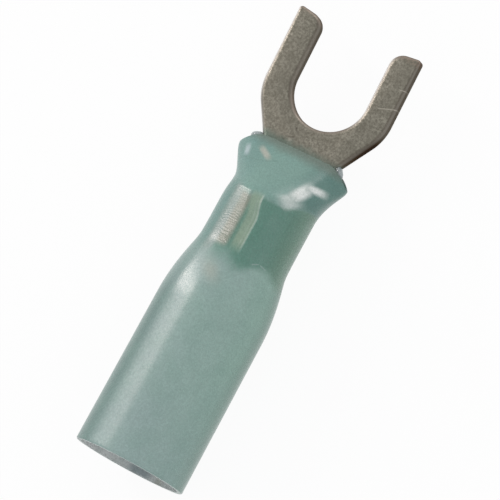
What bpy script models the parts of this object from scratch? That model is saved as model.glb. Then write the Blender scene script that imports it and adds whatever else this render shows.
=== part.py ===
"""Insulated fork terminal for a wire end, with a heat-shrink sleeve.

The metal is one stamping: a blank of sheet is rolled into a barrel whose edges meet in a seam on top,
and runs forward, unrolling, into a flat tongue with an open slot. A translucent sleeve grips the barrel,
widens to a mouth for the insulated wire at the rear, and is flattened into a collar over the tongue's
root. A layer of hot-melt adhesive lines the sleeve and swells out of the collar beside the tongue.

X runs along the barrel from the mouth to the fork's tips, Y goes across, Z is up and square to the tongue.
Lengths along X below are measured from the mouth's edge and heights from the barrel's axis; the finished
part has its origin under the middle of its length, on the surface that the mouth lies on.
Sizes are in millimetres, and metres only where vertices are made.
"""

import math

import bmesh
import bpy

MM = 0.001

# Metal stamping
STOCK = 0.8  # sheet thickness
BARREL_BORE = 2.4
BARREL_START = 13.2  # rear edge of the barrel
BARREL_LENGTH = 3.4  # fully rolled length
SEAM_GAP = 0.2  # between the edges of the rolled sheet, along its middle
FUNNEL = 0.25  # bevel at the rear of the bore that guides the strands in
GROOVE_COUNT = 3  # grip grooves across the bore
GROOVE_PITCH = 0.75
GROOVE_WIDTH = 0.36
GROOVE_DEPTH = 0.08
UNROLL_LENGTH = 2.0  # from the fully rolled barrel to the flat tongue
UNROLL_EASE = 0.3  # 0 unrolls evenly, 1 starts and ends gently
TONGUE_DROP = 0.85  # the tongue's middle below the barrel's axis
NECK_WIDTH = 4.6  # the tongue at its root, under the collar
TONGUE_WIDTH = 7.7
RIGHT_SHOULDER_START = 20.04  # where the tongue begins to widen on the -Y side
LEFT_SHOULDER_START = 19.78  # and on the +Y side
SHOULDER_ANGLE = math.radians(31)
FACET_PAST_BEAD = 0.4  # the shoulder's first facet ends this far past the adhesive's tip
FACET_LENGTH = 0.5  # and at least this far past the shoulder's start
SHOULDER_RADIUS = 3.0
SLOT_WIDTH = 4.42
SLOT_BOTTOM = 21.54
TIP_REACH = 27.5
TIP_SLANTS = {-1: math.radians(6), 1: math.radians(9)}  # each tine's end falls back towards the slot
TIP_INNER_RADIUS = 0.85
TIP_OUTER_RADIUS = 0.2
DIE_ROLL = 0.15  # rounding that the punch leaves on the upper edges
FORK_LEAN = math.radians(1.7)  # the fork leans this far towards +Y

# Sleeve
MOUTH_DIAMETER = 6.66
MOUTH_WALL = 0.3
BODY_TAPER = 0.065  # the body's radius falls this much towards its shoulder
BODY_LENGTH = 9.4
NECK_WALL = 0.4  # the same tube shrunk on to the barrel
COLLAR_WALL = 0.3
COLLAR_REACH = 20.0
COLLAR_WIDTH = 6.8
COLLAR_SHIFT = 0.07  # the collar's rim lies this far towards +Y
FLARE_POWER = 1.2  # how late the collar widens
COLLAR_HEIGHT = 1.96  # at the rim, about the tongue's middle
FALL_EASE = 0.35  # 0 brings the collar down evenly to that height, 1 starts and ends level
COLLAR_FULLNESS = 3.6  # exponent of the collar's oval, where 2 is an ellipse
FULLNESS_END = 17.4  # where the oval has reached it
COLLAR_CROWN = 1.02  # how far the rim falls back at the collar's two edges
CROWN_START = 0.76  # share of the half width where the rim begins to fall back
CROWN_POWER = 1.15
SHOULDER_POWER = 1.9  # how late the shoulder turns in
LIP = 0.07  # rounding of the cut edges

# Adhesive
LINER_WALL = 0.12
LINER_NECK_WALL = 0.2
LINER_RECESS = 0.45  # the adhesive stops short of the mouth
LINER_SETBACK = 0.03  # and this share of the collar's length short of its rim
BEAD_REACH = 0.2  # past the collar's rim, along the tongue's edges
BEAD_PROFILE = ((0.6, 0.15), (0.72, 0.6))  # the bead's face, as shares of its depth and of its reach

FIT = 0.03  # clearance between one layer and the next
COLLAR_FIT = 0.06  # the same in the collar, where the layers bend

# Facets
STRIP_SPANS = 26  # across the sheet
SIDES = 44
SHOULDER_STEPS = 8
UNROLL_STEPS = 13
COLLAR_STEPS = 12
SLOT_STEPS = 18
CORNER_STEPS = 5

FLAT_ANGLE = 1e-4  # a bend this small counts as flat
BULGE = 1 - math.sqrt(0.5)  # a rounded edge's middle, as a share of its radius in from the corner

BARREL_RADIUS = BARREL_BORE / 2 + STOCK
BARREL_FRONT = BARREL_START + BARREL_LENGTH
FLAT_START = BARREL_FRONT + UNROLL_LENGTH
SHOULDER_STARTS = {-1: RIGHT_SHOULDER_START, 1: LEFT_SHOULDER_START}
FIRST_SHOULDER = min(SHOULDER_STARTS.values())
BEAD_TIP = COLLAR_REACH + BEAD_REACH
NECK_COVER = FIT + LINER_NECK_WALL + FIT + NECK_WALL
NECK_RADIUS = BARREL_RADIUS + NECK_COVER
MIDDLE_X = TIP_REACH / 2
FLOOR_Z = -MOUTH_DIAMETER / 2


def mix(a, b, share):
    return a + (b - a) * share


def smooth(share):
    """Ease from 0 to 1 with level ends."""
    share = min(max(share, 0.0), 1.0)
    return share * share * (3 - 2 * share)


def leaned(x, y):
    """The fork's sideways lean, eased in along the stretch that unrolls."""
    span = FLAT_START - BARREL_FRONT
    share = min(max((x - BARREL_FRONT) / span, 0.0), 1.0)
    eased = span * (share**3 - share**4 / 2)
    drift = math.tan(FORK_LEAN) * (eased + max(x - FLAT_START, 0.0))
    slope = math.tan(FORK_LEAN) * smooth(share)
    return x - y * slope, y + drift


def placed(point):
    """A point in the part's own frame, in metres."""
    x, y, z = point
    x, y = leaned(x, y)
    return ((x - MIDDLE_X) * MM, y * MM, (z - FLOOR_Z) * MM)


def opened(x):
    """How far the sheet has unrolled, from 0 at the barrel to 1 at the tongue."""
    return min(max((x - BARREL_FRONT) / UNROLL_LENGTH, 0.0), 1.0)


class Sheet:
    """The section of the rolled or flat sheet at x: its bend, half width and height."""

    def __init__(self, x):
        rolled = math.pi - SEAM_GAP / 2 / (BARREL_RADIUS - STOCK / 2)
        share = smooth(opened(x))
        self.x = x
        self.angle = max(rolled * (1 - mix(opened(x), share, UNROLL_EASE)), FLAT_ANGLE)
        past = max(x - FIRST_SHOULDER, 0.0) * math.tan(SHOULDER_ANGLE)
        self.half_width = mix(BARREL_RADIUS, NECK_WIDTH / 2, share**2) + past
        self.radius = self.half_width / math.sin(min(self.angle, math.pi / 2)) - STOCK / 2
        self.base = mix(STOCK / 2 - BARREL_RADIUS, -TONGUE_DROP, share)

    def point(self, turn, depth):
        """turn is the angle from the bottom, and depth runs from -1 outside to 1 inside."""
        radius = self.radius - depth * STOCK / 2
        return (self.x, radius * math.sin(turn), self.base + self.radius - radius * math.cos(turn))

    def farthest(self, across, up):
        """Y and Z of the section's point that lies farthest in a direction."""
        turn = min(max(math.atan2(across, -up), -self.angle), self.angle)
        candidates = [self.point(turn, -1)]
        candidates += [self.point(side * self.angle, d) for side in (-1, 1) for d in (-1, 1)]
        _, y, z = max(candidates, key=lambda p: p[1] * across + p[2] * up)
        return (y if abs(across) > FLAT_ANGLE else 0.0), z


def strip_ring(x, cut=0.0):
    """One closed section of the sheet: outside, edge, inside and back, with cut deepening the bore."""
    sheet = Sheet(x)
    depth = 1 - 2 * cut / STOCK
    roll = 1 - 2 * DIE_ROLL / STOCK
    inset = DIE_ROLL / sheet.radius
    turns = [mix(-1, 1, k / STRIP_SPANS) for k in range(STRIP_SPANS + 1)]
    outside = [sheet.point(t * sheet.angle, -1) for t in turns]
    inside = [sheet.point(-t * (sheet.angle - inset), depth) for t in turns]

    def edge(side):
        low = sheet.point(side * sheet.angle, min(roll, depth))
        high = sheet.point(side * (sheet.angle - inset * BULGE), mix(depth, roll, BULGE))
        return low, high

    right_low, right_high = edge(1)
    left_low, left_high = edge(-1)
    return outside + [right_low, right_high] + inside + [left_high, left_low]


def strip_stations():
    """(x, cut) pairs along the sheet, from the barrel's rear to the flat neck."""
    stations = [(BARREL_START, FUNNEL), (BARREL_START + FUNNEL, 0.0)]
    middle = BARREL_START + BARREL_LENGTH / 2 + FUNNEL / 2
    for n in range(GROOVE_COUNT):
        centre = middle + (n - (GROOVE_COUNT - 1) / 2) * GROOVE_PITCH
        stations.append((centre - GROOVE_WIDTH / 2, 0.0))
        stations.append((centre, GROOVE_DEPTH))
        stations.append((centre + GROOVE_WIDTH / 2, 0.0))
    for n in range(UNROLL_STEPS + 1):
        stations.append((BARREL_FRONT + UNROLL_LENGTH * n / UNROLL_STEPS, 0.0))
    return stations


def arc(centre, radius, start, end, steps):
    """Points and outward normals round an arc in the tongue's plane; a negative radius is a hollow."""
    out = []
    for n in range(steps + 1):
        a = mix(start, end, n / steps)
        direction = (math.cos(a), math.sin(a))
        point = (centre[0] + abs(radius) * direction[0], centre[1] + abs(radius) * direction[1])
        normal = direction if radius > 0 else (-direction[0], -direction[1])
        out.append((point, normal))
    return out


def shoulder_points(start):
    """The tongue's widening on the -Y side, from the neck to the straight outer edge."""
    a = SHOULDER_ANGLE
    low, high = NECK_WIDTH / 2, TONGUE_WIDTH / 2
    run = (high - low) / math.tan(a)
    setback = SHOULDER_RADIUS * math.tan(a / 2)
    slope_normal = (-math.sin(a), -math.cos(a))
    points = [((start, -low), slope_normal)]
    split = max(BEAD_TIP + FACET_PAST_BEAD, start + FACET_LENGTH)
    points.append(((split, -low - (split - start) * math.tan(a)), slope_normal))
    centre = (start + run + setback, -high + SHOULDER_RADIUS)
    points += arc(centre, SHOULDER_RADIUS, -math.pi / 2 - a, -math.pi / 2, CORNER_STEPS)
    return points


def tip_points(a):
    """The end of the tine on the -Y side, slanted by a, from its outer corner to its inner one."""
    outer, inner = -TONGUE_WIDTH / 2, -SLOT_WIDTH / 2
    near = (TIP_REACH - TIP_OUTER_RADIUS, outer + TIP_OUTER_RADIUS)
    fall = (inner - outer - TIP_OUTER_RADIUS - TIP_INNER_RADIUS) * math.tan(a)
    far = (TIP_REACH - TIP_INNER_RADIUS - fall, inner - TIP_INNER_RADIUS)
    return arc(near, TIP_OUTER_RADIUS, -math.pi / 2, a, CORNER_STEPS) + arc(
        far, TIP_INNER_RADIUS, a, math.pi / 2, CORNER_STEPS
    )


def half_outline(side):
    """One side of the tongue's outline, from the neck to the tine's inner corner."""
    half = shoulder_points(SHOULDER_STARTS[side])
    waist = SLOT_BOTTOM + SLOT_WIDTH / 2
    half.append(((waist, -TONGUE_WIDTH / 2), (0, -1)))
    half += tip_points(TIP_SLANTS[side])
    return [((x, -side * y), (nx, -side * ny)) for (x, y), (nx, ny) in half]


def fork_outline():
    """The tongue's outline from the neck on the -Y side round to the neck on the +Y side."""
    waist = SLOT_BOTTOM + SLOT_WIDTH / 2
    slot = arc((waist, 0), -SLOT_WIDTH / 2, -math.pi / 2, -3 * math.pi / 2, SLOT_STEPS)
    return half_outline(-1) + slot + half_outline(1)[::-1]


def fork_column(point, normal):
    """The four levels of the tongue's cut edge: bottom, wall top, die roll and upper face."""
    (x, y), (nx, ny) = point, normal
    low, high = -TONGUE_DROP - STOCK / 2, -TONGUE_DROP + STOCK / 2
    half = DIE_ROLL * BULGE
    return [
        (x, y, low),
        (x, y, high - DIE_ROLL),
        (x - nx * half, y - ny * half, high - half),
        (x - nx * DIE_ROLL, y - ny * DIE_ROLL, high),
    ]


def bridge(bm, first, second, closed=True):
    """Quads between two rows of as many vertices."""
    count = len(first)
    for k in range(count if closed else count - 1):
        n = (k + 1) % count
        bm.faces.new((first[k], first[n], second[n], second[k]))


def fork_terminal():
    bm = bmesh.new()
    rings = [
        [bm.verts.new(placed(p)) for p in strip_ring(x, cut)] for x, cut in strip_stations()
    ]
    for rear, front in zip(rings, rings[1:]):
        bridge(bm, front, rear)
    outside = STRIP_SPANS + 1
    ring = rings[0]
    low_right, high_right = ring[outside], ring[outside + 1]
    inside = ring[outside + 2 : outside + 2 + outside]
    high_left, low_left = ring[-2], ring[-1]
    for k in range(STRIP_SPANS):
        bm.faces.new((ring[k], ring[k + 1], inside[STRIP_SPANS - k - 1], inside[STRIP_SPANS - k]))
    bm.faces.new((ring[STRIP_SPANS], low_right, high_right, inside[0]))
    bm.faces.new((low_left, ring[0], inside[-1], high_left))

    ring = rings[-1]
    inside = ring[outside + 2 : outside + 2 + outside]
    left_end = [ring[outside - 1], ring[outside], ring[outside + 1], inside[0]]
    right_end = [ring[0], ring[-1], ring[-2], inside[-1]]
    columns = [
        [bm.verts.new(placed(p)) for p in fork_column(*at)] for at in fork_outline()
    ]
    columns = [right_end] + columns + [left_end]
    for first, second in zip(columns, columns[1:]):
        bridge(bm, first, second, closed=False)
    cover_fork(bm, columns, ring[:outside], inside)
    return bm


def cover_fork(bm, columns, neck_bottom, neck_top):
    """The tongue's flat faces: the neck under the collar, the web and each tine."""
    split = 2
    waist = split + CORNER_STEPS + 2
    slot = waist + 2 * (CORNER_STEPS + 1) + 1
    other_slot = len(columns) - 1 - slot
    other_waist = len(columns) - 1 - waist
    other_split = len(columns) - 1 - split
    web = columns[split : waist + 1] + columns[slot : other_slot + 1]
    web += columns[other_waist : other_split + 1]
    for patch in (web, columns[waist : slot + 1], columns[other_slot : other_waist + 1]):
        bm.faces.new([column[-1] for column in patch])
        bm.faces.new([column[0] for column in reversed(patch)])
    root = columns[1 : split + 1] + columns[other_split:-1]
    bm.faces.new([column[-1] for column in root] + neck_top)
    bm.faces.new([column[0] for column in reversed(root)] + neck_bottom)


def collar_ring(share, inset):
    """A ring of the collar's surface, or of one nested inside it by inset."""
    x = mix(BARREL_FRONT, COLLAR_REACH, share)
    half_width = mix(NECK_RADIUS, COLLAR_WIDTH / 2, smooth(share**FLARE_POWER))
    fall = mix(share, smooth(share), FALL_EASE)
    half_height = mix(NECK_RADIUS, COLLAR_HEIGHT / 2, fall)
    middle = mix(0, -TONGUE_DROP, fall)
    full = mix(2, COLLAR_FULLNESS, smooth((x - BARREL_FRONT) / (FULLNESS_END - BARREL_FRONT)))
    ring = []
    for k in range(SIDES):
        across, up = math.cos(math.tau * k / SIDES), math.sin(math.tau * k / SIDES)
        stretch = (abs(across) ** full + abs(up) ** full) ** (-1 / full)
        edge = max((abs(across) * stretch - CROWN_START) / (1 - CROWN_START), 0.0)
        y = COLLAR_SHIFT * share + across * stretch * (half_width - inset)
        z = middle + up * stretch * (half_height - inset)
        ring.append((x - COLLAR_CROWN * edge**CROWN_POWER * share**2, y, z))
    return ring


def stretched(x, angle, cover):
    """A point of a layer that keeps to the sheet with that cover, where its face looks to angle."""
    across, up = math.cos(angle), math.sin(angle)
    y, z = Sheet(x).farthest(across, up)
    return (x, y + cover * across, z + cover * up)


def contact_ring(x, reach=0.0):
    """A ring of the adhesive's inner face, which reaches forward at the tongue's edges."""
    contact = mix(FIT, COLLAR_FIT, smooth(opened(x)))
    ring = []
    for k in range(SIDES):
        angle = math.tau * k / SIDES
        ring.append(stretched(x + reach * math.cos(angle) ** 2, angle, contact))
    return ring


def bead_rings(outer, inner):
    """The adhesive's front face, from the collar's inside to the metal."""
    rings = []
    for deep, far in BEAD_PROFILE:
        ring = []
        for a, b in zip(outer, inner):
            ring.append((mix(a[0], b[0], far), mix(a[1], b[1], deep), mix(a[2], b[2], deep)))
        rings.append(ring)
    return rings


def round_ring(x, radius):
    ring = []
    for k in range(SIDES):
        angle = math.tau * k / SIDES
        ring.append((x, radius * math.cos(angle), radius * math.sin(angle)))
    return ring


def body_radius(x):
    """Outside of the sleeve from the mouth to the front of the neck."""
    wide = MOUTH_DIAMETER / 2 - BODY_TAPER * min(max(x / BODY_LENGTH, 0.0), 1.0)
    share = (x - BODY_LENGTH) / (BARREL_START - BODY_LENGTH)
    return mix(wide, NECK_RADIUS, min(max(share, 0.0), 1.0) ** SHOULDER_POWER)


def body_wall(x, mouth, neck):
    """A layer's thickness, which grows where the tube has shrunk."""
    share = (x - BODY_LENGTH) / (BARREL_START - BODY_LENGTH)
    return mix(mouth, neck, smooth(share))


def body_stations(start):
    """x of the rings from a layer's rear end to the middle of the neck."""
    stations = [start]
    for n in range(SHOULDER_STEPS + 1):
        stations.append(mix(BODY_LENGTH, BARREL_START, n / SHOULDER_STEPS))
    stations.append((BARREL_START + BARREL_FRONT) / 2)
    return stations


def shell(outside, inside, front=()):
    """A mesh from rings that run up a layer's outside, over its front and back down its inside.

    Each facet pair is split the same way on both faces of a layer, so that nested layers stay clear.
    """
    bm = bmesh.new()
    outer = [[bm.verts.new(placed(p)) for p in ring] for ring in outside]
    inner = [[bm.verts.new(placed(p)) for p in ring] for ring in inside]
    middle = [[bm.verts.new(placed(p)) for p in ring] for ring in front]
    closing = [outer[-1]] + middle + [inner[-1]]
    for loops in (outer, inner, closing, [outer[0], inner[0]]):
        for rear, ahead in zip(loops, loops[1:]):
            facet_band(bm, rear, ahead)
    return bm


def facet_band(bm, rear, ahead):
    """Triangles between two rings, mirrored about the middle plane."""
    for k in range(SIDES):
        n = (k + 1) % SIDES
        if math.cos(math.tau * (k + 0.5) / SIDES) > 0:
            bm.faces.new((rear[k], rear[n], ahead[n]))
            bm.faces.new((rear[k], ahead[n], ahead[k]))
        else:
            bm.faces.new((rear[k], rear[n], ahead[k]))
            bm.faces.new((rear[n], ahead[n], ahead[k]))


def shrink_sleeve():
    outside = [round_ring(0, MOUTH_DIAMETER / 2 - LIP)]
    inside = [round_ring(0, MOUTH_DIAMETER / 2 - MOUTH_WALL + LIP / 2)]
    for x in body_stations(LIP):
        outside.append(round_ring(x, body_radius(x)))
        inside.append(round_ring(x, body_radius(x) - body_wall(x, MOUTH_WALL, NECK_WALL)))
    for n in range(COLLAR_STEPS + 1):
        share = n / COLLAR_STEPS
        outside.append(collar_ring(share, 0.0))
        inside.append(collar_ring(share, collar_wall(share)))
    return shell(outside, inside)


def collar_wall(share):
    return mix(NECK_WALL, COLLAR_WALL, smooth(share))


def adhesive_liner():
    outside, inside = [], []
    for x in body_stations(LINER_RECESS):
        outer = body_radius(x) - body_wall(x, MOUTH_WALL, NECK_WALL) - FIT
        outside.append(round_ring(x, outer))
        inside.append(round_ring(x, outer - body_wall(x, LINER_WALL, LINER_NECK_WALL)))
    for n in range(COLLAR_STEPS + 1):
        share = min(n / COLLAR_STEPS, 1 - LINER_SETBACK)
        outside.append(collar_ring(share, collar_wall(share) + COLLAR_FIT))
    for n in range(UNROLL_STEPS + 1):
        inside.append(contact_ring(mix(BARREL_FRONT, FLAT_START, n / UNROLL_STEPS)))
    inside.append(contact_ring(FIRST_SHOULDER))
    inside.append(contact_ring(COLLAR_REACH, BEAD_REACH))
    return shell(outside, inside, bead_rings(outside[-1], inside[-1]))


def tin_material():
    return finish("tinned_copper", (0.23, 0.215, 0.19), 0.38, metallic=1.0)


def sleeve_material():
    return finish("shrink_plastic", (0.21, 0.34, 0.30), 0.32, transmission=0.35)


def adhesive_material():
    return finish("clear_adhesive", (0.72, 0.74, 0.66), 0.12, transmission=0.8)


def finish(name, colour, roughness, metallic=0.0, transmission=0.0):
    material = bpy.data.materials.new(name)
    material.use_nodes = True
    shader = material.node_tree.nodes["Principled BSDF"]
    shader.inputs["Base Color"].default_value = (*colour, 1.0)
    shader.inputs["Roughness"].default_value = roughness
    shader.inputs["Metallic"].default_value = metallic
    shader.inputs["Transmission Weight"].default_value = transmission
    return material


def add_piece(name, bm, material, crease=math.radians(35)):
    """Make the named object from its mesh, smooth apart from its sharp edges."""
    bmesh.ops.recalc_face_normals(bm, faces=bm.faces)
    mesh = bpy.data.meshes.new(name)
    bm.to_mesh(mesh)
    bm.free()
    mesh.materials.append(material)
    mesh.shade_smooth()
    mesh.set_sharp_from_angle(angle=crease)
    piece = bpy.data.objects.new(name, mesh)
    bpy.context.scene.collection.objects.link(piece)
    return piece


def clear_scene():
    for old in list(bpy.data.objects):
        bpy.data.objects.remove(old, do_unlink=True)


def main():
    clear_scene()
    add_piece("fork_terminal", fork_terminal(), tin_material())
    add_piece("shrink_sleeve", shrink_sleeve(), sleeve_material())
    add_piece("adhesive_liner", adhesive_liner(), adhesive_material())


main()
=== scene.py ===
"""Looks of the insulated fork terminal: camera, light, floor, and detailed pieces over the CAD frame.

Lengths along X are measured from the sleeve's mouth and heights from the barrel's axis, in millimetres,
as in the CAD source, and `placed` turns them into the row frame in metres. Left is +Y and right is -Y,
as the picture shows them.
"""
import math

import bmesh
import bpy
import numpy as np
from mathutils import Matrix, Vector


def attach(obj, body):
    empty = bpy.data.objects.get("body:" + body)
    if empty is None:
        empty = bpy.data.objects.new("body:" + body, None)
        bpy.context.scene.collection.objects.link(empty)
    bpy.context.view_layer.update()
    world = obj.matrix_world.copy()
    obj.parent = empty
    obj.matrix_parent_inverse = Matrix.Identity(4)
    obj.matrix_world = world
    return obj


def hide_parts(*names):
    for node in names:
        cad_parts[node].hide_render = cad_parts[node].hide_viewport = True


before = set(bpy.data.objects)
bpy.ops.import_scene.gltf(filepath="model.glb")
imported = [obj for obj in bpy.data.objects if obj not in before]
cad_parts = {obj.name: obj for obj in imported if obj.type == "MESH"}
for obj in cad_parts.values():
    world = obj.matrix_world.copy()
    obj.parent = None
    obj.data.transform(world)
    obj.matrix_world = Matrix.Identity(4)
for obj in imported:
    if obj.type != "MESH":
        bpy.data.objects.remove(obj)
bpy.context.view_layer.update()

MM = 0.001

# Sizes that the CAD source gives
STOCK = 0.8  # sheet thickness
BARREL_BORE = 2.4
BARREL_START = 13.2  # rear edge of the barrel
BARREL_FRONT = 16.6  # where the rolled sheet begins to open
SEAM_GAP = 0.2
UNROLL_LENGTH = 2.0
UNROLL_EASE = 0.3
TONGUE_DROP = 0.85  # the tongue's middle below the barrel's axis
NECK_WIDTH = 4.6  # the tongue at its root, under the collar
TONGUE_WIDTH = 7.7
SHOULDER_STARTS = {-1: 20.04, 1: 19.78}  # where the tongue begins to widen, right and left
SHOULDER_ANGLE = math.radians(31)
SHOULDER_RADIUS = 3.0
SLOT_WIDTH = 4.42
SLOT_BOTTOM = 21.54
TIP_REACH = 27.5
TIP_SLANTS = {-1: math.radians(6), 1: math.radians(9)}  # of the right and the left tine's end
TIP_INNER_RADIUS = 0.85
TIP_OUTER_RADIUS = 0.2
FORK_LEAN = math.radians(1.7)
MOUTH_RADIUS = 3.33
MOUTH_WALL = 0.3
BODY_TAPER = 0.065
BODY_LENGTH = 9.4
NECK_RADIUS = 2.66
NECK_WALL = 0.4
COLLAR_WALL = 0.3
COLLAR_REACH = 20.0
COLLAR_WIDTH = 6.8
COLLAR_SHIFT = 0.07
FLARE_POWER = 1.2
COLLAR_HEIGHT = 1.96
FALL_EASE = 0.35
COLLAR_FULLNESS = 3.6
FULLNESS_END = 17.4
SHOULDER_POWER = 1.9
BARREL_RADIUS = BARREL_BORE / 2 + STOCK
FLAT_START = BARREL_FRONT + UNROLL_LENGTH
MIDDLE_X = TIP_REACH / 2

# Finer shapes of the scene's own pieces
DIE_ROLL = 0.27  # the punched edge's rounding
ROLL_LIMIT = 0.95  # the largest share of a corner's radius that this rounding takes
COLLAR_CROWN = 0.88  # how far the rim falls back at the collar's two edges
CROWN_START = 0.58  # share of the half width where the rim begins to fall back
CROWN_POWER = 1.8
OUTER_FULLNESS = 2.5  # the collar's outer corners are softer than its inner ones
OUTER_FULLNESS_END = 18.8
FALL_START = 0.6  # the collar's fall is cut to this share where it begins,
FALL_START_SHARE = 0.2  # and has caught up after this share of the collar's length
MOUTH_ROUNDING = 0.04  # the outer edge of the mouth is smaller by this much
LATE_FLARE = 0.12  # the left side flares later than the right, by this depth
LATE_FLARE_X = 17.1  # where this is most
LATE_FLARE_SPREAD = 0.7
SOFT_SHOULDER_LENGTH = 0.4  # the corner between the shoulder and the neck is softer over this length,
SOFT_SHOULDER = 0.15  # and swells by this share of it
VALLEY_DEPTH = 0.06  # the sleeve sinks into the seam and makes a shallow valley
VALLEY_START = (12.9, 13.8)  # from its first end to where it has its full depth
VALLEY_END = (17.1, 16.3)  # the same from its other end
VALLEY_Y = -0.12
VALLEY_SHIFT = 0.27  # it drifts this far to the left
VALLEY_BEND = (15.1, 16.4)  # between these places
VALLEY_RIGHT = (-0.35, -0.16)  # its steep side's top and bottom, measured across from its middle
VALLEY_LEFT = (0.62, 0.07)  # and its gentle side's
LINER_RECESS = 0.45
LINER_FIT = 0.03
LINER_INSETS = (0.15, 0.24)  # the adhesive's inner face below the sleeve's, in the body and in the neck
LINER_FRONTS = (0.97, 0.99)  # shares of the collar's length that its outer and its inner face reach
BEADS = (  # middle, half sizes and turn of each lump
    ((19.84, 2.72, -0.78), (0.27, 0.40, 0.32), 0.4),
    ((19.88, -2.46, -0.76), (0.40, 0.23, 0.34), 0.5),
)
BEAD_UNEVENNESS = 0.08  # as a share of their size

# Fineness
ROLL_STEPS = 6
STRIP_SPANS = 56
CORNER_STEPS = 14
SLOT_STEPS = 60
BARREL_RINGS = 12
UNROLL_RINGS = 24
AROUND = 240
MOUTH_ZONE = 0.3  # rings stand closer together here
SHOULDER_END = 12.8  # the shoulder's rings end here and the neck's begin
FINE_RINGS = (5, 14, 24, 46, 60)  # in the mouth, the body, the shoulder, the neck and the collar
PLAIN_RINGS = (2, 5, 12, 14, 30)
FLAT_ANGLE = 1e-4  # a bend this small counts as flat


def mix(a, b, share):
    return a + (b - a) * share


def clamp(value):
    return np.clip(value, 0.0, 1.0)


def smooth(share):
    share = clamp(share)
    return share * share * (3 - 2 * share)


def ramp(value, low, high):
    """0 at low and 1 at high, level at both ends; low may be the larger."""
    return smooth((value - low) / (high - low))


def placed(points):
    """Row frame positions in metres of an array of design points in millimetres."""
    p = np.asarray(points, dtype=float)
    x, y, z = p[..., 0], p[..., 1], p[..., 2]
    span = FLAT_START - BARREL_FRONT
    share = clamp((x - BARREL_FRONT) / span)
    drift = math.tan(FORK_LEAN) * (span * (share**3 - share**4 / 2) + np.maximum(x - FLAT_START, 0))
    slope = math.tan(FORK_LEAN) * smooth(share)
    return np.stack([x - y * slope - MIDDLE_X, y + drift, z + MOUTH_RADIUS], axis=-1) * MM


# Sleeve and adhesive

def seam_line(x):
    """Y of the valley that the sleeve makes over the barrel's seam."""
    return VALLEY_Y + VALLEY_SHIFT * ramp(x, *VALLEY_BEND)


def valley(x, y, z):
    """Depth of that valley at points of the sleeve."""
    off = y - seam_line(x)
    across = ramp(off, *VALLEY_RIGHT) * ramp(off, *VALLEY_LEFT)
    along = ramp(x, *VALLEY_START) * ramp(x, *VALLEY_END)
    return np.where(z > 0, VALLEY_DEPTH * across * along, 0.0)


def ring_angles():
    return math.tau * np.arange(AROUND) / AROUND


def collar_ring(share, inset, fullness, full_at):
    """The collar's section as an array of points, nested inside its surface by inset."""
    x = mix(BARREL_FRONT, COLLAR_REACH, share)
    half_width = mix(NECK_RADIUS, COLLAR_WIDTH / 2, smooth(share**FLARE_POWER)) - inset
    fall = mix(share, smooth(share), FALL_EASE) * mix(FALL_START, 1.0, smooth(share / FALL_START_SHARE))
    half_height = mix(NECK_RADIUS, COLLAR_HEIGHT / 2, fall) - inset
    middle = mix(0, -TONGUE_DROP, fall)
    full = mix(2, fullness, ramp(x, BARREL_FRONT, full_at))
    across, up = np.cos(ring_angles()), np.sin(ring_angles())
    stretch = (np.abs(across) ** full + np.abs(up) ** full) ** (-1 / full)
    edge = np.maximum((np.abs(across) * stretch - CROWN_START) / (1 - CROWN_START), 0)
    along = x - COLLAR_CROWN * edge**CROWN_POWER * share**2
    y = COLLAR_SHIFT * share + across * stretch * half_width
    return np.stack([along, y, middle + up * stretch * half_height], axis=-1)


def round_ring(x, radius):
    angle = ring_angles()
    return np.stack([np.full(AROUND, x), radius * np.cos(angle), radius * np.sin(angle)], axis=-1)


def body_radius(x):
    wide = MOUTH_RADIUS - BODY_TAPER * clamp(x / BODY_LENGTH)
    share = clamp((x - BODY_LENGTH) / (BARREL_START - BODY_LENGTH))
    return mix(wide, NECK_RADIUS, share**SHOULDER_POWER)


def layer(start, inset_at, front=1.0, fine=True):
    """Rings of one face of the sleeve or its lining, from x = start to the collar's rim."""
    counts = FINE_RINGS if fine else PLAIN_RINGS
    corners = (OUTER_FULLNESS, OUTER_FULLNESS_END) if fine else (COLLAR_FULLNESS, FULLNESS_END)
    ends = (start, start + MOUTH_ZONE, BODY_LENGTH, SHOULDER_END, BARREL_FRONT)
    rings = []
    for low, high, count in zip(ends, ends[1:], counts):
        for x in np.linspace(low, high, count, endpoint=False):
            rings.append(round_ring(x, body_radius(x) - inset_at(x)))
    for share in np.linspace(0, front, counts[-1]):
        inset = inset_at(mix(BARREL_FRONT, COLLAR_REACH, share))
        rings.append(collar_ring(share, inset, *corners))
    return np.array(rings)


def finish_piece(name, bm, slots, crease):
    """A piece from a bmesh; edges sharper than crease, in degrees, stay sharp."""
    bmesh.ops.recalc_face_normals(bm, faces=bm.faces)
    mesh = bpy.data.meshes.new(name)
    bm.to_mesh(mesh)
    bm.free()
    for material in slots:
        mesh.materials.append(material)
    mesh.set_sharp_from_angle(angle=math.radians(crease))
    piece = bpy.data.objects.new(name, mesh)
    bpy.context.scene.collection.objects.link(piece)
    return piece


def shell_piece(name, outside, inside, slots):
    """A closed wall between two grids of rings; slots are the outer and the inner material."""
    bm = bmesh.new()
    outer = [[bm.verts.new(p) for p in ring] for ring in placed(outside)]
    inner = [[bm.verts.new(p) for p in ring] for ring in placed(inside)]

    def band(first, second, index):
        for k in range(AROUND):
            n = (k + 1) % AROUND
            face = bm.faces.new((first[k], first[n], second[n], second[k]))
            face.material_index = index
            face.smooth = True

    for rear, front in zip(outer, outer[1:]):
        band(rear, front, 0)
    for rear, front in zip(inner, inner[1:]):
        band(front, rear, 1)
    band(outer[-1], inner[-1], 0)
    band(inner[0], outer[0], 0)
    return finish_piece(name, bm, slots, crease=50)


# Metal

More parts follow.
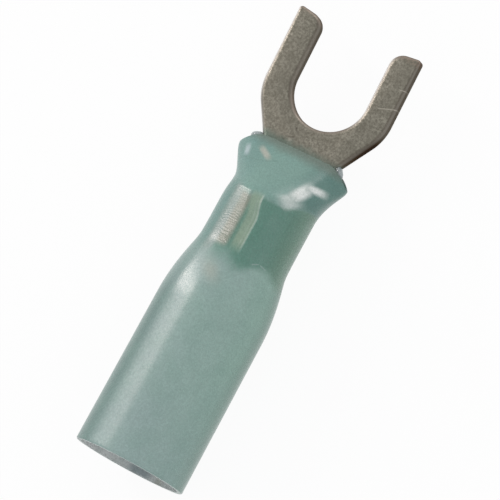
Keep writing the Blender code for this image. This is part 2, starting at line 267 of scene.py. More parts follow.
def sheet_rings():
    """Closed sections of the rolled sheet, from the barrel's rear to the flat neck."""
    stations = list(np.linspace(BARREL_START, BARREL_FRONT, BARREL_RINGS, endpoint=False))
    stations += list(np.linspace(BARREL_FRONT, FLAT_START, UNROLL_RINGS))
    quarter = np.linspace(0, math.pi / 2, ROLL_STEPS + 1)
    turns = np.linspace(-1, 1, STRIP_SPANS + 1)
    flat = np.ones(len(turns))
    deep = 1 - 2 * DIE_ROLL / STOCK * (1 - np.sin(quarter))
    depth = np.concatenate([-flat, deep[:-1], flat, deep[-2::-1]])
    rolled = math.pi - SEAM_GAP / 2 / (BARREL_RADIUS - STOCK / 2)
    rings = []
    for x in stations:
        opening = clamp((x - BARREL_FRONT) / UNROLL_LENGTH)
        share = smooth(opening)
        angle = max(rolled * (1 - mix(opening, share, UNROLL_EASE)), FLAT_ANGLE)
        half_width = mix(BARREL_RADIUS, NECK_WIDTH / 2, share**2)
        radius = half_width / math.sin(min(angle, math.pi / 2)) - STOCK / 2
        base = mix(STOCK / 2 - BARREL_RADIUS, -TONGUE_DROP, share)
        inset = DIE_ROLL / radius
        back = inset * (1 - np.cos(quarter))
        top = -turns * (angle - inset)
        turn = np.concatenate([turns * angle, angle - back[:-1], top, back[-2::-1] - angle])
        r = radius - depth * STOCK / 2
        along = np.full(len(turn), x)
        rings.append(np.stack([along, r * np.sin(turn), base + radius - r * np.cos(turn)], axis=-1))
    return rings


def arc(centre, radius, start, end, steps):
    """Points, outward normals and edge rounding of an arc; a negative radius is a hollow."""
    out = []
    for a in np.linspace(start, end, steps + 1):
        direction = np.array([math.cos(a), math.sin(a)])
        point = np.array(centre) + abs(radius) * direction
        out.append((point, math.copysign(1, radius) * direction, min(DIE_ROLL, ROLL_LIMIT * abs(radius))))
    return out


def half_outline(side):
    """One side of the tongue's outline, from the neck to the tine's inner corner."""
    a, start, slant = SHOULDER_ANGLE, SHOULDER_STARTS[side], TIP_SLANTS[side]
    low, high, inner = NECK_WIDTH / 2, TONGUE_WIDTH / 2, -SLOT_WIDTH / 2
    run = (high - low) / math.tan(a)
    centre = (start + run + SHOULDER_RADIUS * math.tan(a / 2), SHOULDER_RADIUS - high)
    points = [(np.array([start, -low]), np.array([-math.sin(a), -math.cos(a)]), DIE_ROLL)]
    points += arc(centre, SHOULDER_RADIUS, -math.pi / 2 - a, -math.pi / 2, CORNER_STEPS)
    near = (TIP_REACH - TIP_OUTER_RADIUS, TIP_OUTER_RADIUS - high)
    fall = (inner + high - TIP_OUTER_RADIUS - TIP_INNER_RADIUS) * math.tan(slant)
    far = (TIP_REACH - TIP_INNER_RADIUS - fall, inner - TIP_INNER_RADIUS)
    points += arc(near, TIP_OUTER_RADIUS, -math.pi / 2, slant, CORNER_STEPS)
    points += arc(far, TIP_INNER_RADIUS, slant, math.pi / 2, CORNER_STEPS)
    flip = np.array([1, -side])
    return [(point * flip, normal * flip, roll) for point, normal, roll in points]


def tongue_columns(bm):
    """Columns of vertices up the tongue's edge, from its right root round the slot to its left root."""
    quarter = np.linspace(0, math.pi / 2, ROLL_STEPS + 1)
    low, high = -TONGUE_DROP - STOCK / 2, -TONGUE_DROP + STOCK / 2
    waist = SLOT_BOTTOM + SLOT_WIDTH / 2
    slot = arc((waist, 0), -SLOT_WIDTH / 2, -math.pi / 2, -3 * math.pi / 2, SLOT_STEPS)
    columns = []
    for point, normal, roll in half_outline(-1) + slot + half_outline(1)[::-1]:
        column = [(*point, low)]
        for a in quarter:
            back = point - normal * roll * (1 - math.cos(a))
            column.append((*back, high - roll * (1 - math.sin(a))))
        columns.append([bm.verts.new(p) for p in placed(column)])
    return columns


def metal_mesh():
    bm = bmesh.new()

    def rounded_quad(corners):
        bm.faces.new(corners).smooth = True

    rings = [[bm.verts.new(p) for p in placed(ring)] for ring in sheet_rings()]
    count = len(rings[0])
    for rear, front in zip(rings, rings[1:]):
        for k in range(count):
            n = (k + 1) % count
            rounded_quad((front[k], front[n], rear[n], rear[k]))

    # Each ring holds the outer face, the left edge, the bore's face and the right edge
    spans, steps = STRIP_SPANS + 1, ROLL_STEPS
    outer, left_edge = slice(0, spans), slice(spans, spans + steps)
    bore, right_edge = slice(spans + steps, 2 * spans + steps), slice(2 * spans + steps, None)
    first, last = rings[0], rings[-1]
    top = first[bore]
    for k in range(STRIP_SPANS):
        bm.faces.new((first[k], first[k + 1], top[STRIP_SPANS - k - 1], top[STRIP_SPANS - k]))
    bm.faces.new([first[STRIP_SPANS]] + first[left_edge] + [top[0]])
    bm.faces.new([first[0]] + first[right_edge][::-1] + [top[-1]])

    columns = tongue_columns(bm)
    right = [last[0]] + last[right_edge][::-1] + [last[bore][-1]]
    left = [last[STRIP_SPANS]] + last[left_edge] + [last[bore][0]]
    for a, b in zip([right] + columns, columns + [left]):
        for k in range(len(a) - 1):
            rounded_quad((a[k], b[k], b[k + 1], a[k + 1]))
    bm.faces.new([c[-1] for c in columns] + last[bore])
    bm.faces.new([c[0] for c in reversed(columns)] + last[outer])
    return bm


# Materials

class Nodes:
    """Short calls for building one material's node tree.

    x runs from the mouth, y across and z from the barrel's axis, in millimetres.
    """

    def __init__(self, name):
        self.material = bpy.data.materials.new(name)
        self.material.use_nodes = True
        self.tree = self.material.node_tree
        self.shader = self.tree.nodes["Principled BSDF"]
        self.output = self.tree.nodes["Material Output"]
        self.place = self.add("ShaderNodeTexCoord").outputs["Object"]
        parts = self.add("ShaderNodeSeparateXYZ")
        self.put(self.place, parts.inputs[0])
        self.x = self.math("MULTIPLY_ADD", parts.outputs[0], 1 / MM, MIDDLE_X)
        self.y = self.math("MULTIPLY", parts.outputs[1], 1 / MM)
        self.z = self.math("MULTIPLY_ADD", parts.outputs[2], 1 / MM, -MOUTH_RADIUS)

    def add(self, kind, **values):
        node = self.tree.nodes.new(kind)
        for key, value in values.items():
            setattr(node, key, value)
        return node

    def put(self, value, socket):
        if isinstance(value, bpy.types.NodeSocket):
            self.tree.links.new(value, socket)
        else:
            socket.default_value = value

    def math(self, operation, a, b=0.0, c=0.0):
        node = self.add("ShaderNodeMath", operation=operation)
        for value, socket in zip((a, b, c), node.inputs):
            self.put(value, socket)
        return node.outputs[0]

    def times(self, *factors):
        out = factors[0]
        for factor in factors[1:]:
            out = self.math("MULTIPLY", out, factor)
        return out

    def largest(self, *masks):
        out = masks[0]
        for mask in masks[1:]:
            out = self.math("MAXIMUM", out, mask)
        return out

    def blend(self, share, a, b, mode="MIX"):
        node = self.add("ShaderNodeMix", data_type="RGBA", blend_type=mode)
        self.put(share, node.inputs["Factor"])
        for value, socket in ((a, node.inputs[6]), (b, node.inputs[7])):
            self.put(value if isinstance(value, bpy.types.NodeSocket) else (*value, 1.0), socket)
        return node.outputs[2]

    def ramp(self, value, low, high, start=0.0, end=1.0):
        node = self.add("ShaderNodeMapRange", interpolation_type="SMOOTHSTEP")
        for v, socket in zip((value, low, high, start, end), node.inputs):
            self.put(v, socket)
        return node.outputs[0]

    def noise(self, per_mm, detail, roughness):
        node = self.add("ShaderNodeTexNoise")
        self.put(self.place, node.inputs["Vector"])
        node.inputs["Scale"].default_value = per_mm / MM
        node.inputs["Detail"].default_value = detail
        node.inputs["Roughness"].default_value = roughness
        return node.outputs[0]

    def streak(self, start, end, width, full=0.3):
        """A mask round the line between two (x, y) points; full is the share of the width where it is 1."""
        dx, dy = end[0] - start[0], end[1] - start[1]
        length = math.hypot(dx, dy)
        ux, uy = dx / length, dy / length
        px = self.math("SUBTRACT", self.x, start[0])
        py = self.math("SUBTRACT", self.y, start[1])
        along = self.math("ADD", self.math("MULTIPLY", px, ux), self.math("MULTIPLY", py, uy))
        away = self.math("SUBTRACT", self.math("MULTIPLY", px, -uy), self.math("MULTIPLY", py, -ux))
        body = self.ramp(self.math("ABSOLUTE", away), width, width * full)
        rise = self.ramp(along, -width, width)
        fall = self.ramp(along, length + width, length - width)
        return self.times(body, rise, fall)

    def streaks(self, rows):
        return self.largest(*[self.streak(*row) for row in rows])

    def bump(self, height, depth_mm, strength):
        node = self.add("ShaderNodeBump")
        node.inputs["Strength"].default_value = strength
        node.inputs["Distance"].default_value = depth_mm * MM
        self.put(height, node.inputs["Height"])
        self.put(node.outputs[0], self.shader.inputs["Normal"])

    def see_through(self, opaque, tint):
        """Mix the shader with a tinted clear one; opaque is the shader's share."""
        clear = self.add("ShaderNodeBsdfTransparent")
        clear.inputs["Color"].default_value = (*tint, 1.0)
        join = self.add("ShaderNodeMixShader")
        self.put(opaque, join.inputs[0])
        self.put(clear.outputs[0], join.inputs[1])
        self.put(self.shader.outputs[0], join.inputs[2])
        self.put(join.outputs[0], self.output.inputs["Surface"])


# Tin

TIN_DARK_GRAIN = (0.132, 0.125, 0.101)
TIN_LIGHT_GRAIN = (0.262, 0.248, 0.206)
TIN_PATCH = (0.126, 0.118, 0.094)
TIN_CLOUD = (0.170, 0.158, 0.129)
# Painted highlight and painted reflection for the rolled edges that face left
TIN_LEFT_ROLL_HIGHLIGHT = (0.225, 0.215, 0.195)
TIN_LEFT_ROLL_REFLECTION = (0.85, 0.83, 0.80)
# Painted shade for the rolled edges that face right, and for side faces that face back
TIN_RIGHT_ROLL_SHADE = (0.085, 0.073, 0.060)
TIN_RIGHT_EDGE = (0.195, 0.180, 0.156)
TIN_REAR_EDGE_SHADE = (0.070, 0.055, 0.045)
TIN_FRONT_EDGE = (0.340, 0.286, 0.245)
TIN_FILMED = (0.112, 0.153, 0.129)
TIN_SCRATCHED = (0.422, 0.394, 0.340)
TIN_STAIN_AND_SHADE = (0.034, 0.027, 0.020)
TIN_SHEEN = (0.30, 0.28, 0.26)
COPPER = (0.286, 0.184, 0.136)

PALE_MARKS = (  # two scratches and two specks: start, end, half width
    ((24.15, -2.64), (24.59, -3.82), 0.045),
    ((25.61, -3.19), (25.71, -3.78), 0.035),
    ((25.66, 3.82), (25.66, 3.70), 0.09),
    ((20.35, 1.02), (20.35, 0.90), 0.12),
)
DARK_MARKS = (  # the pit painted dark as its shade, a painted shade line and a stain by the collar, each with its strength
    (((21.02, 0.88), (21.12, 0.94), 0.10), 1.0),
    (((20.42, 1.30), (20.60, 0.74), 0.07), 0.4),
    (((20.22, 1.25), (20.28, 1.33), 0.11), 0.6),
)


def tin_material():
    n = Nodes("tinned_copper_look")
    grain = n.noise(8.5, 4.0, 0.62)
    patch = n.noise(1.6, 3.0, 0.6)
    cloud = n.noise(0.35, 2.0, 0.5)
    facing = n.add("ShaderNodeSeparateXYZ")
    n.put(n.add("ShaderNodeNewGeometry").outputs["Normal"], facing.inputs[0])
    forward, leftward = facing.outputs[0], facing.outputs[1]
    tone = n.blend(n.ramp(grain, 0.34, 0.68), TIN_DARK_GRAIN, TIN_LIGHT_GRAIN)
    tone = n.blend(n.ramp(patch, 0.35, 0.70, 0.0, 0.45), tone, TIN_PATCH)
    tone = n.blend(n.ramp(cloud, 0.40, 0.65, 0.0, 0.30), tone, TIN_CLOUD)

    # Painted light: the edges that face left get a painted highlight and a painted reflection of the white
    # surround, and those that face right and back get painted shade
    left_roll_light = n.ramp(leftward, 0.15, 0.60)
    # Painted highlight on the rolled edges that face left, then a painted reflection of the white surround
    # at their outer edge
    tone = n.blend(n.times(left_roll_light, 0.85), tone, TIN_LEFT_ROLL_HIGHLIGHT)
    tone = n.blend(n.times(n.ramp(leftward, 0.50, 0.90), 0.9), tone, TIN_LEFT_ROLL_REFLECTION)
    # Painted shade on the rolled edges that face right; the side faces that face right get a plain tone,
    # with painted shade where they face back
    tone = n.blend(n.times(n.ramp(leftward, -0.06, -0.40), 0.75), tone, TIN_RIGHT_ROLL_SHADE)
    under = n.blend(n.ramp(forward, -0.12, -0.45), TIN_RIGHT_EDGE, TIN_REAR_EDGE_SHADE)
    tone = n.blend(n.times(n.ramp(leftward, -0.45, -0.90), 0.9), tone, under)
    tone = n.blend(n.times(n.ramp(forward, 0.15, 0.6), 0.55), tone, TIN_FRONT_EDGE)

    # A film of adhesive covers the sheet in front of the collar
    film = n.ramp(n.math("MULTIPLY_ADD", patch, 0.5, n.x), 20.75, 20.25)
    tone = n.blend(n.times(film, 0.75), tone, TIN_FILMED)
    tone = n.blend(n.times(n.streaks(PALE_MARKS), 0.5), tone, TIN_SCRATCHED)
    # Painted shade in the pit and along a line, and a real stain, all in one dark tone
    dark = n.largest(*[n.times(n.streak(*row), strength) for row, strength in DARK_MARKS])
    tone = n.blend(n.times(dark, 0.8), tone, TIN_STAIN_AND_SHADE)

    # Bare copper shows a little at the cut ends of the tines
    cut = n.times(n.ramp(n.x, TIP_REACH - 0.5, TIP_REACH), n.ramp(grain, 0.40, 0.62))
    tone = n.blend(n.times(cut, 0.40), tone, COPPER)
    n.put(tone, n.shader.inputs["Base Color"])
    n.shader.inputs["Metallic"].default_value = 1.0
    n.shader.inputs["Specular Tint"].default_value = (*TIN_SHEEN, 1.0)
    roughness = n.math("MULTIPLY_ADD", left_roll_light, 0.10, n.ramp(grain, 0.2, 0.8, 0.46, 0.30))
    n.put(roughness, n.shader.inputs["Roughness"])
    n.bump(n.math("SUBTRACT", grain, n.times(dark, 0.6)), depth_mm=0.016, strength=0.6)
    return n.material


# Shrink tube

BODY_RIGHT = (0.255, 0.400, 0.335)
# Painted sheen: the tube's left side is greyer
BODY_LEFT_SHEEN = (0.262, 0.355, 0.340)
BODY_CLOUD = (0.258, 0.385, 0.338)
BODY_REAR = (0.262, 0.350, 0.345)
# Painted shade on the tube's left and right flanks
LEFT_FLANK_SHADE = (0.090, 0.170, 0.152)
RIGHT_FLANK_SHADE = (0.100, 0.190, 0.150)
# Painted light inside the mouth, a patch of painted shade and an olive patch
MOUTH_PAINTED_LIGHT = (0.80, 0.83, 0.82)
MOUTH_LEFT_PAINTED_LIGHT = (0.90, 0.92, 0.91)
MOUTH_SHADE = (0.42, 0.48, 0.51)
MOUTH_OLIVE = (0.50, 0.51, 0.43)
# Over the barrel: darker green partly from the metal and partly painted shade, a painted reflection of lit
# metal and painted light
GRIP_METAL_AND_SHADE = (0.108, 0.248, 0.192)
GRIP_RIGHT_METAL_AND_SHADE = (0.160, 0.275, 0.205)
GRIP_METAL_REFLECTION = (0.255, 0.278, 0.222)
GRIP_PAINTED_LIGHT = (0.265, 0.335, 0.310)
GRIP_LEFT = (0.135, 0.255, 0.230)
COLLAR_MIDDLE = (0.178, 0.308, 0.268)
# Painted shade on the collar's right side
COLLAR_RIGHT_SHADE = (0.100, 0.205, 0.178)
COLLAR_LEFT = (0.140, 0.258, 0.235)
SEAM_OLIVE = (0.285, 0.385, 0.285)
# Painted highlight lines on the seam valley
SEAM_HIGHLIGHT = (0.46, 0.54, 0.47)
# Painted highlight on the collar and the shoulder
BEIGE_HIGHLIGHT = (0.42, 0.42, 0.36)
# Painted reflection on the collar
PALE_REFLECTION = (0.44, 0.52, 0.55)
# Painted shade along the collar's crease
CREASE_SHADE = (0.12, 0.22, 0.19)
METAL_UNDER_RIM = (0.158, 0.190, 0.158)
# Painted highlight lines over the barrel's rear edge
REAR_EDGE_HIGHLIGHT = (0.42, 0.52, 0.50)
BLOTCHED = (0.18, 0.31, 0.26)
# Painted highlight on the collar's bend
BEND_HIGHLIGHT = (0.82, 0.85, 0.81)

# Marks of the sleeve: start, end, half width and the share of it where the mark is full
SHADE_IN_MOUTH = ((0.25, 0.75), (0.25, -0.55), 0.32)
OLIVE_IN_MOUTH = ((0.15, -1.00), (0.10, -1.35), 0.28)
BEIGE_HIGHLIGHT_ON_COLLAR = ((19.18, 1.92), (18.74, 1.12), 0.27, 0.1)
BEIGE_HIGHLIGHT_ON_SHOULDER = ((11.9, 0.80), (11.15, 0.05), 0.72, 0.0)
PALE_REFLECTION_ON_COLLAR = ((19.0, 2.72), (18.45, 2.44), 0.25, 0.1)
CREASE = (((18.26, 2.53), (18.40, 1.45), 0.08), ((18.40, 1.45), (18.83, 0.59), 0.08))
REAR_EDGE_HIGHLIGHT_LINES = (((12.90, -1.32), (13.10, -1.62), 0.05), ((13.10, -1.70), (13.00, -2.02), 0.05))
BEND_HIGHLIGHT_MARKS = (
    ((16.85, -1.25), (17.20, -1.60), 0.62, 0.35),
    ((17.20, -1.42), (18.25, -1.85), 0.52, 0.25),
    ((18.26, -1.72), (18.36, -2.60), 0.34, 0.10),
)
RING_PITCH = 0.17  # of the fine rings that shrinking leaves on the neck
RING_WANDER = 30.0  # the blotches shift the rings by up to this angle, in radians
SEAM_TONE_END = (16.85, 16.3)


class TubeNodes(Nodes):
    """Adds what the tube's tones share: the turn round it, 0 on top and more to the left, and noises."""

    def __init__(self, name):
        super().__init__(name)
        self.turn = self.math("ARCTAN2", self.y, self.z)
        self.fine = self.noise(6.0, 3.0, 0.6)
        self.blotch = self.noise(1.1, 2.0, 0.5)


def body_tone(n):
    cloud = n.noise(0.20, 2.0, 0.5)
    # Painted sheen: the tube is painted greyer towards its left
    tone = n.blend(n.ramp(n.turn, -1.4, 0.5), BODY_RIGHT, BODY_LEFT_SHEEN)
    tone = n.blend(n.ramp(cloud, 0.35, 0.65, 0.0, 0.6), tone, BODY_CLOUD)
    tone = n.blend(n.ramp(n.x, 7.0, -1.0, 0.0, 0.5), tone, BODY_REAR)
    # Painted shade on the left flank, and on the right edge below
    flank_shade = n.times(n.ramp(n.turn, 0.42, 0.85), n.ramp(n.turn, 2.2, 1.6))
    tone = n.blend(n.times(flank_shade, n.ramp(n.x, 8.8, 11.0, 0.85, 0.5)), tone, LEFT_FLANK_SHADE)
    return n.blend(n.ramp(n.turn, -1.05, -1.50, 0.0, 0.5), tone, RIGHT_FLANK_SHADE)


def mouth_tone(n, tone):
    """Painted light: the wall is painted a light grey inside the mouth, with a patch of painted shade and
    an olive patch.
    """
    tone = n.blend(n.ramp(n.x, 6.0, 1.0), tone, MOUTH_PAINTED_LIGHT)
    tone = n.blend(n.times(n.ramp(n.y, 0.2, 2.4), n.ramp(n.x, 3.0, 1.0)), tone, MOUTH_LEFT_PAINTED_LIGHT)
    tone = n.blend(n.times(n.streak(*SHADE_IN_MOUTH), 0.85), tone, MOUTH_SHADE)
    return n.blend(n.times(n.streak(*OLIVE_IN_MOUTH), 0.8), tone, MOUTH_OLIVE)


def grip_masks(n):
    """Where the tube has shrunk on to the barrel, darker partly from the metal seen through it and partly
    from painted shade, and where it leaves the barrel for the collar.
    """
    wavy = n.math("MULTIPLY_ADD", n.math("SUBTRACT", n.blotch, 0.5), 0.7, n.x)
    wavy = n.math("MULTIPLY_ADD", n.math("SUBTRACT", n.fine, 0.5), 0.5, wavy)
    wavy = n.math("SUBTRACT", wavy, n.ramp(n.y, -0.8, -1.8, 0.0, 0.55))
    wavy = n.math("ADD", wavy, n.ramp(n.y, -2.1, -2.9, 0.0, 0.45))
    full_at = n.math("MULTIPLY_ADD", n.ramp(n.y, -0.7, 0.3), 0.75, 12.75)
    onto = n.ramp(wavy, 11.95, full_at)
    side = n.math("ABSOLUTE", n.math("ADD", n.y, 0.15))
    front = n.math("MULTIPLY_ADD", n.ramp(side, 0.8, 2.6), 0.62, 16.52)
    off = n.ramp(n.math("SUBTRACT", n.x, front), n.ramp(n.turn, 0.0, 0.3, -0.15, -0.40), 0.15)
    return n.math("MULTIPLY", onto, n.math("SUBTRACT", 1.0, off)), off


def neck_tone(n):
    # Darker green over the barrel, partly the metal seen through the tube and partly painted shade, lighter
    # towards the right
    tone = n.blend(n.ramp(n.turn, -0.5, -1.4), GRIP_METAL_AND_SHADE, GRIP_RIGHT_METAL_AND_SHADE)
    # A painted reflection of the lit metal beside the seam, painted light further left, then teal at the
    # left edge
    reflection_by_seam = n.times(n.ramp(n.turn, 0.10, 0.24), n.ramp(n.x, 12.9, 13.4))
    tone = n.blend(reflection_by_seam, tone, GRIP_METAL_REFLECTION)
    tone = n.blend(n.ramp(n.turn, 0.36, 0.50), tone, GRIP_PAINTED_LIGHT)
    return n.blend(n.ramp(n.turn, 0.58, 0.80), tone, GRIP_LEFT)


def collar_tone(n, tone, off):
    tone = n.blend(off, tone, COLLAR_MIDDLE)
    # Painted shade towards the collar's right, and darker towards its left
    tone = n.blend(n.times(off, n.ramp(n.y, -0.6, -2.1)), tone, COLLAR_RIGHT_SHADE)
    return n.blend(n.times(off, n.ramp(n.y, 0.8, 2.4)), tone, COLLAR_LEFT)


def seam_tone(n, tone):
    """Olive in the valley over the seam, a painted highlight line on its right edge and a fainter one in
    its middle.
    """
    curve = n.math("MULTIPLY_ADD", n.ramp(n.x, *VALLEY_BEND), VALLEY_SHIFT, VALLEY_Y)
    off = n.math("SUBTRACT", n.y, curve)
    length = n.times(n.ramp(n.x, *VALLEY_START), n.ramp(n.x, *SEAM_TONE_END), n.ramp(n.z, 0.5, 1.0))
    groove = n.times(n.ramp(off, -0.30, -0.18), n.ramp(off, 0.50, 0.22), length)
    tone = n.blend(n.times(groove, 0.9), tone, SEAM_OLIVE)
    edge = n.times(n.ramp(n.math("ABSOLUTE", n.math("ADD", off, 0.26)), 0.09, 0.02), length)
    tone = n.blend(n.times(edge, 0.55, n.ramp(n.blotch, 0.35, 0.6, 0.6, 1.0)), tone, SEAM_HIGHLIGHT)
    second = n.times(n.ramp(n.math("ABSOLUTE", n.math("ADD", off, 0.05)), 0.07, 0.01), length)
    return n.blend(n.times(second, 0.25), tone, SEAM_HIGHLIGHT)


def marked_tone(n, tone, rim):
    """Painted highlights and a painted reflection on the collar and the shoulder, painted shade in a
    crease, the metal under the rim and painted highlight lines over the barrel's rear edge.
    """
    upper = n.ramp(n.z, -0.3, 0.1)
    on_collar = n.times(n.streak(*BEIGE_HIGHLIGHT_ON_COLLAR), upper)
    on_shoulder = n.times(n.streak(*BEIGE_HIGHLIGHT_ON_SHOULDER), upper, 0.6)
    tone = n.blend(n.times(n.largest(on_collar, on_shoulder), 0.9), tone, BEIGE_HIGHLIGHT)
    tone = n.blend(n.times(n.streak(*PALE_REFLECTION_ON_COLLAR), upper, 0.8), tone, PALE_REFLECTION)
    tone = n.blend(n.times(n.streaks(CREASE), upper, 0.35), tone, CREASE_SHADE)
    tone = n.blend(n.times(rim, 0.92), tone, METAL_UNDER_RIM)
    return n.blend(n.times(n.streaks(REAR_EDGE_HIGHLIGHT_LINES), n.ramp(n.z, 0.5, 1.0), 0.5), tone, REAR_EDGE_HIGHLIGHT)


def bend_highlight_tone(n, tone):
    """A painted highlight on the collar's slope where it bends up to the barrel."""
    slant = n.math("MULTIPLY_ADD", n.math("ABSOLUTE", n.math("ADD", n.y, 1.45)), 0.35, 16.36)
    ahead = n.ramp(n.math("SUBTRACT", n.x, slant), -0.06, 0.12)
    share = n.times(n.streaks(BEND_HIGHLIGHT_MARKS), n.ramp(n.z, 0.0, 0.4), ahead)
    return n.blend(n.times(share, n.ramp(n.fine, 0.25, 0.6, 0.80, 1.0)), tone, BEND_HIGHLIGHT)


def shrink_ridges(n):
    """Height of the fine rings that shrinking leaves across the neck."""
    shift = n.times(n.blotch, RING_WANDER)
    wave = n.math("SINE", n.math("MULTIPLY_ADD", n.x, math.tau / RING_PITCH, shift))
    around = n.times(n.ramp(n.turn, 0.0, 0.15), n.ramp(n.turn, 0.75, 0.45))
    place = n.times(around, n.ramp(n.x, 13.1, 13.4), n.ramp(n.x, 15.6, 14.0, 0.10, 1.0))
    return n.times(wave, place, n.ramp(n.blotch, 0.35, 0.6, 0.2, 1.0))


def sleeve_material(inner):
    n = TubeNodes("shrink_plastic_inner" if inner else "shrink_plastic_look")
    wide = body_tone(n)
    if inner:
        wide = mouth_tone(n, wide)
    grip, off = grip_masks(n)
    rim = n.ramp(n.math("MULTIPLY_ADD", n.blotch, 0.5, n.x), 19.45, 20.25)
    tone = n.blend(grip, wide, neck_tone(n))
    tone = collar_tone(n, tone, off)
    tone = seam_tone(n, tone)
    tone = marked_tone(n, tone, rim)
    tone = n.blend(1.0, tone, n.ramp(n.fine, 0.3, 0.7, 1.00, 1.10), "MULTIPLY")
    tone = n.blend(n.ramp(n.blotch, 0.35, 0.70, 0.0, 0.22), tone, BLOTCHED)
    tone = bend_highlight_tone(n, tone)
    speck = n.noise(13.0, 2.0, 0.6)
    tone = n.blend(1.0, tone, n.ramp(speck, 0.32, 0.70, 1.08, 0.91), "MULTIPLY")
    n.put(tone, n.shader.inputs["Base Color"])
    n.put(n.ramp(n.fine, 0.3, 0.7, 0.22, 0.30), n.shader.inputs["Roughness"])
    n.shader.inputs["IOR"].default_value = 1.5
    mottled = n.math("MULTIPLY_ADD", n.blotch, 1.5, n.fine)
    n.bump(n.math("MULTIPLY_ADD", shrink_ridges(n), 1.1, mottled), depth_mm=0.006, strength=0.6)
    if inner:
        n.see_through(n.math("MULTIPLY_ADD", grip, -0.5, 0.85), (0.92, 0.97, 0.95))
    else:
        opaque = n.math("MULTIPLY_ADD", grip, -0.12, 0.95)
        n.see_through(n.math("MULTIPLY_ADD", rim, -0.15, opaque), (0.88, 0.96, 0.92))
    return n.material


# Adhesive and floor

def adhesive_material():
    n = Nodes("clear_adhesive_look")
    cloud = n.noise(0.9, 3.0, 0.6)
    tone = n.blend(n.ramp(cloud, 0.4, 0.6), (0.42, 0.48, 0.47), (0.34, 0.38, 0.34))
    n.put(tone, n.shader.inputs["Base Color"])
    n.shader.inputs["Roughness"].default_value = 0.10
    milky = n.math("MULTIPLY_ADD", n.ramp(n.x, 12.0, 14.0), -0.45, 0.70)
    n.see_through(milky, (0.93, 0.96, 0.93))
    return n.material


def bead_material():
    n = Nodes("adhesive_bead_look")
    n.shader.inputs["Base Color"].default_value = (0.36, 0.41, 0.41, 1.0)
    n.shader.inputs["Roughness"].default_value = 0.08
    n.see_through(0.75, (0.94, 0.96, 0.95))
    return n.material


def seen_rays(tree):
    """1 for rays that show a surface to the camera, also by a reflection or through the sleeve."""
    path = tree.nodes.new("ShaderNodeLightPath")
    seen = path.outputs["Is Camera Ray"]
    for kind in ("Is Glossy Ray", "Is Transmission Ray"):
        larger = tree.nodes.new("ShaderNodeMath")
        larger.operation = "MAXIMUM"
        tree.links.new(seen, larger.inputs[0])
        tree.links.new(path.outputs[kind], larger.inputs[1])
        seen = larger.outputs[0]
    return seen


FLOOR_GLOW = 0.94  # the rest of what is seen keeps the floor's shadow


def floor_material():
    n = Nodes("floor_white")
    n.shader.inputs["Base Color"].default_value = (0.9, 0.9, 0.9, 1.0)
    n.shader.inputs["Roughness"].default_value = 0.9
    glow = n.add("ShaderNodeEmission")
    glow.inputs["Color"].default_value = (1, 1, 1, 1)
    join = n.add("ShaderNodeMixShader")
    n.put(n.times(seen_rays(n.tree), FLOOR_GLOW), join.inputs[0])
    n.put(n.shader.outputs[0], join.inputs[1])
    n.put(glow.outputs[0], join.inputs[2])
    n.put(join.outputs[0], n.output.inputs["Surface"])
    return n.material


# Pieces

def make_metal():
    piece = finish_piece("metal", metal_mesh(), (tin_material(),), crease=40)
    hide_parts("fork_terminal")
    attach(piece, "root")


def sleeve_wall(x):
    wall = mix(MOUTH_WALL, NECK_WALL, ramp(x, BODY_LENGTH, BARREL_START))
    return mix(wall, COLLAR_WALL, ramp(x, BARREL_FRONT, COLLAR_REACH))


def make_sleeve():
    outside = layer(0.0, lambda x: 0.0)
    inside = layer(0.0, sleeve_wall, fine=False)
    x, y, z = outside[..., 0], outside[..., 1], outside[..., 2]
    depth = valley(x, y, z)
    outside[..., 2] = z - depth
    outside[0, :, 1:] *= 1 - MOUTH_ROUNDING / MOUTH_RADIUS
    late = np.exp(-(((x - LATE_FLARE_X) / LATE_FLARE_SPREAD) ** 2)) * clamp(y / NECK_RADIUS) * LATE_FLARE
    outside[..., 1] = y - late
    ahead = x - BARREL_START
    swell = np.sqrt(ahead**2 + SOFT_SHOULDER_LENGTH**2) - np.abs(ahead)
    outside[..., 1:] *= 1 + swell[..., None] * SOFT_SHOULDER / NECK_RADIUS
    piece = shell_piece("sleeve", outside, inside, (sleeve_material(False), sleeve_material(True)))
    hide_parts("shrink_sleeve")
    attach(piece, "root")


def liner_inset(x):
    return sleeve_wall(x) + mix(*LINER_INSETS, ramp(x, BODY_LENGTH, BARREL_START))


def make_liner():
    outer_front, inner_front = LINER_FRONTS
    outside = layer(LINER_RECESS, lambda x: sleeve_wall(x) + LINER_FIT, outer_front, fine=False)
    inside = layer(LINER_RECESS, liner_inset, inner_front, fine=False)
    material = adhesive_material()
    piece = shell_piece("adhesive", outside, inside, (material, material))
    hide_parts("adhesive_liner")
    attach(piece, "root")


def add_bead(bm, centre, size, turn):
    """A lump of adhesive that has run out beside the tongue."""
    made = bmesh.ops.create_icosphere(bm, subdivisions=4, radius=1.0)
    rotation = Matrix.Rotation(turn, 3, "Z")
    for vert in made["verts"]:
        local = vert.co.copy()
        local *= 1 + BEAD_UNEVENNESS * math.sin(3 * local.x + 1) * math.cos(2.5 * local.y)
        local = rotation @ Vector((local.x * size[0], local.y * size[1], local.z * size[2]))
        vert.co = Vector(placed([centre[0] + local.x, centre[1] + local.y, centre[2] + local.z]))
    for face in {f for v in made["verts"] for f in v.link_faces}:
        face.smooth = True


def make_beads():
    bm = bmesh.new()
    for centre, size, turn in BEADS:
        add_bead(bm, centre, size, turn)
    piece = finish_piece("adhesive_beads", bm, (bead_material(),), crease=80)
    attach(piece, "root")


FLOOR_SIDE = 1.2  # in metres
FLOOR_DROP = 0.0001  # in metres, to keep the floor clear of the mouth's underside


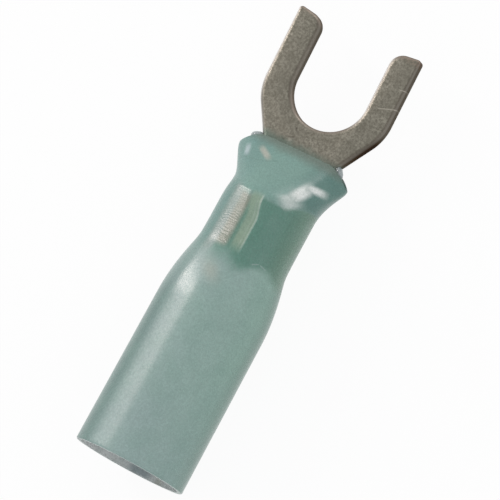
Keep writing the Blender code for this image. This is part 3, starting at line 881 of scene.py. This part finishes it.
def make_floor():
    far = FLOOR_SIDE / 2
    mesh = bpy.data.meshes.new("floor")
    corners = [(-far, -far, 0), (far, -far, 0), (far, far, 0), (-far, far, 0)]
    mesh.from_pydata(corners, [], [(0, 1, 2, 3)])
    mesh.materials.append(floor_material())
    floor = bpy.data.objects.new("floor", mesh)
    floor.location.z = -FLOOR_DROP
    bpy.context.scene.collection.objects.link(floor)


# Light

LIGHT_AIM = Vector((0, 0, 0.003))  # about the middle of the terminal, in metres
SKY_TINT = (0.95, 0.97, 1.0, 1.0)
SKY_STRENGTH = 0.68


def add_softbox(name, direction, distance, size, power, colour=(1, 1, 1)):
    """An area light that looks at the terminal; size is width and height in metres."""
    light = bpy.data.lights.new(name, "AREA")
    light.shape = "RECTANGLE"
    light.size, light.size_y = size
    light.energy = power
    light.color = colour
    holder = bpy.data.objects.new(name, light)
    direction = Vector(direction).normalized()
    holder.location = direction * distance + LIGHT_AIM
    holder.rotation_mode = "QUATERNION"
    holder.rotation_quaternion = direction.to_track_quat("Z", "X")
    bpy.context.scene.collection.objects.link(holder)


def make_lights():
    add_softbox("key", (0.20, 0.87, 0.43), distance=0.30, size=(0.24, 0.045), power=0.48,
                colour=(1.0, 0.90, 0.87))
    add_softbox("front", (0.94, -0.10, 0.25), distance=0.30, size=(0.10, 0.08), power=0.06)
    add_softbox("fill", (0.10, -0.75, 0.62), distance=0.35, size=(0.30, 0.30), power=0.13)


def make_world():
    """A dim sky for the light, and plain white where it is seen."""
    world = bpy.data.worlds.new("studio")
    world.use_nodes = True
    tree = world.node_tree
    sky = tree.nodes["Background"]
    sky.inputs["Color"].default_value = SKY_TINT
    sky.inputs["Strength"].default_value = SKY_STRENGTH
    white = tree.nodes.new("ShaderNodeBackground")
    white.inputs["Color"].default_value = (1, 1, 1, 1)
    join = tree.nodes.new("ShaderNodeMixShader")
    tree.links.new(seen_rays(tree), join.inputs[0])
    tree.links.new(sky.outputs[0], join.inputs[1])
    tree.links.new(white.outputs[0], join.inputs[2])
    tree.links.new(join.outputs[0], tree.nodes["World Output"].inputs["Surface"])
    bpy.context.scene.world = world


# Camera

ACROSS = Vector((0.0, -0.966, -0.259))  # in the picture, square to the barrel and to its right
ALONG = Vector((0.996, -0.0225, 0.084))  # in the picture, along the barrel
AXIS_TURN = math.radians(61.5)  # the barrel's axis above the image's right
PIXELS_PER_MM = 18.0
IMAGE = 500
MOUTH_PIXEL = (129, 466)  # where the mouth's middle lies in the image
LENS = 1200.0
SENSOR = 36.0
CLIP = (0.01, 5.0)  # in metres


def make_camera():
    right = (math.cos(AXIS_TURN) * ALONG + math.sin(AXIS_TURN) * ACROSS).normalized()
    up = math.sin(AXIS_TURN) * ALONG - math.cos(AXIS_TURN) * ACROSS
    back = right.cross(up).normalized()
    up = back.cross(right)
    mouth = Vector((-MIDDLE_X, 0, MOUTH_RADIUS))
    shift_x = (IMAGE / 2 - MOUTH_PIXEL[0]) / PIXELS_PER_MM
    shift_y = (MOUTH_PIXEL[1] - IMAGE / 2) / PIXELS_PER_MM
    target = mouth + right * shift_x + up * shift_y
    distance = IMAGE / PIXELS_PER_MM / 2 / (SENSOR / 2 / LENS)
    camera = bpy.data.cameras.new("camera")
    camera.lens, camera.sensor_width = LENS, SENSOR
    camera.clip_start, camera.clip_end = CLIP
    holder = bpy.data.objects.new("camera", camera)
    turn = Matrix((right, up, back)).transposed().to_4x4()
    holder.matrix_world = Matrix.Translation((target + back * distance) * MM) @ turn
    bpy.context.scene.collection.objects.link(holder)
    bpy.context.scene.camera = holder


make_metal()
make_sleeve()
make_liner()
make_beads()
make_floor()
make_lights()
make_world()
make_camera()
bpy.context.scene.view_settings.view_transform = "Standard"
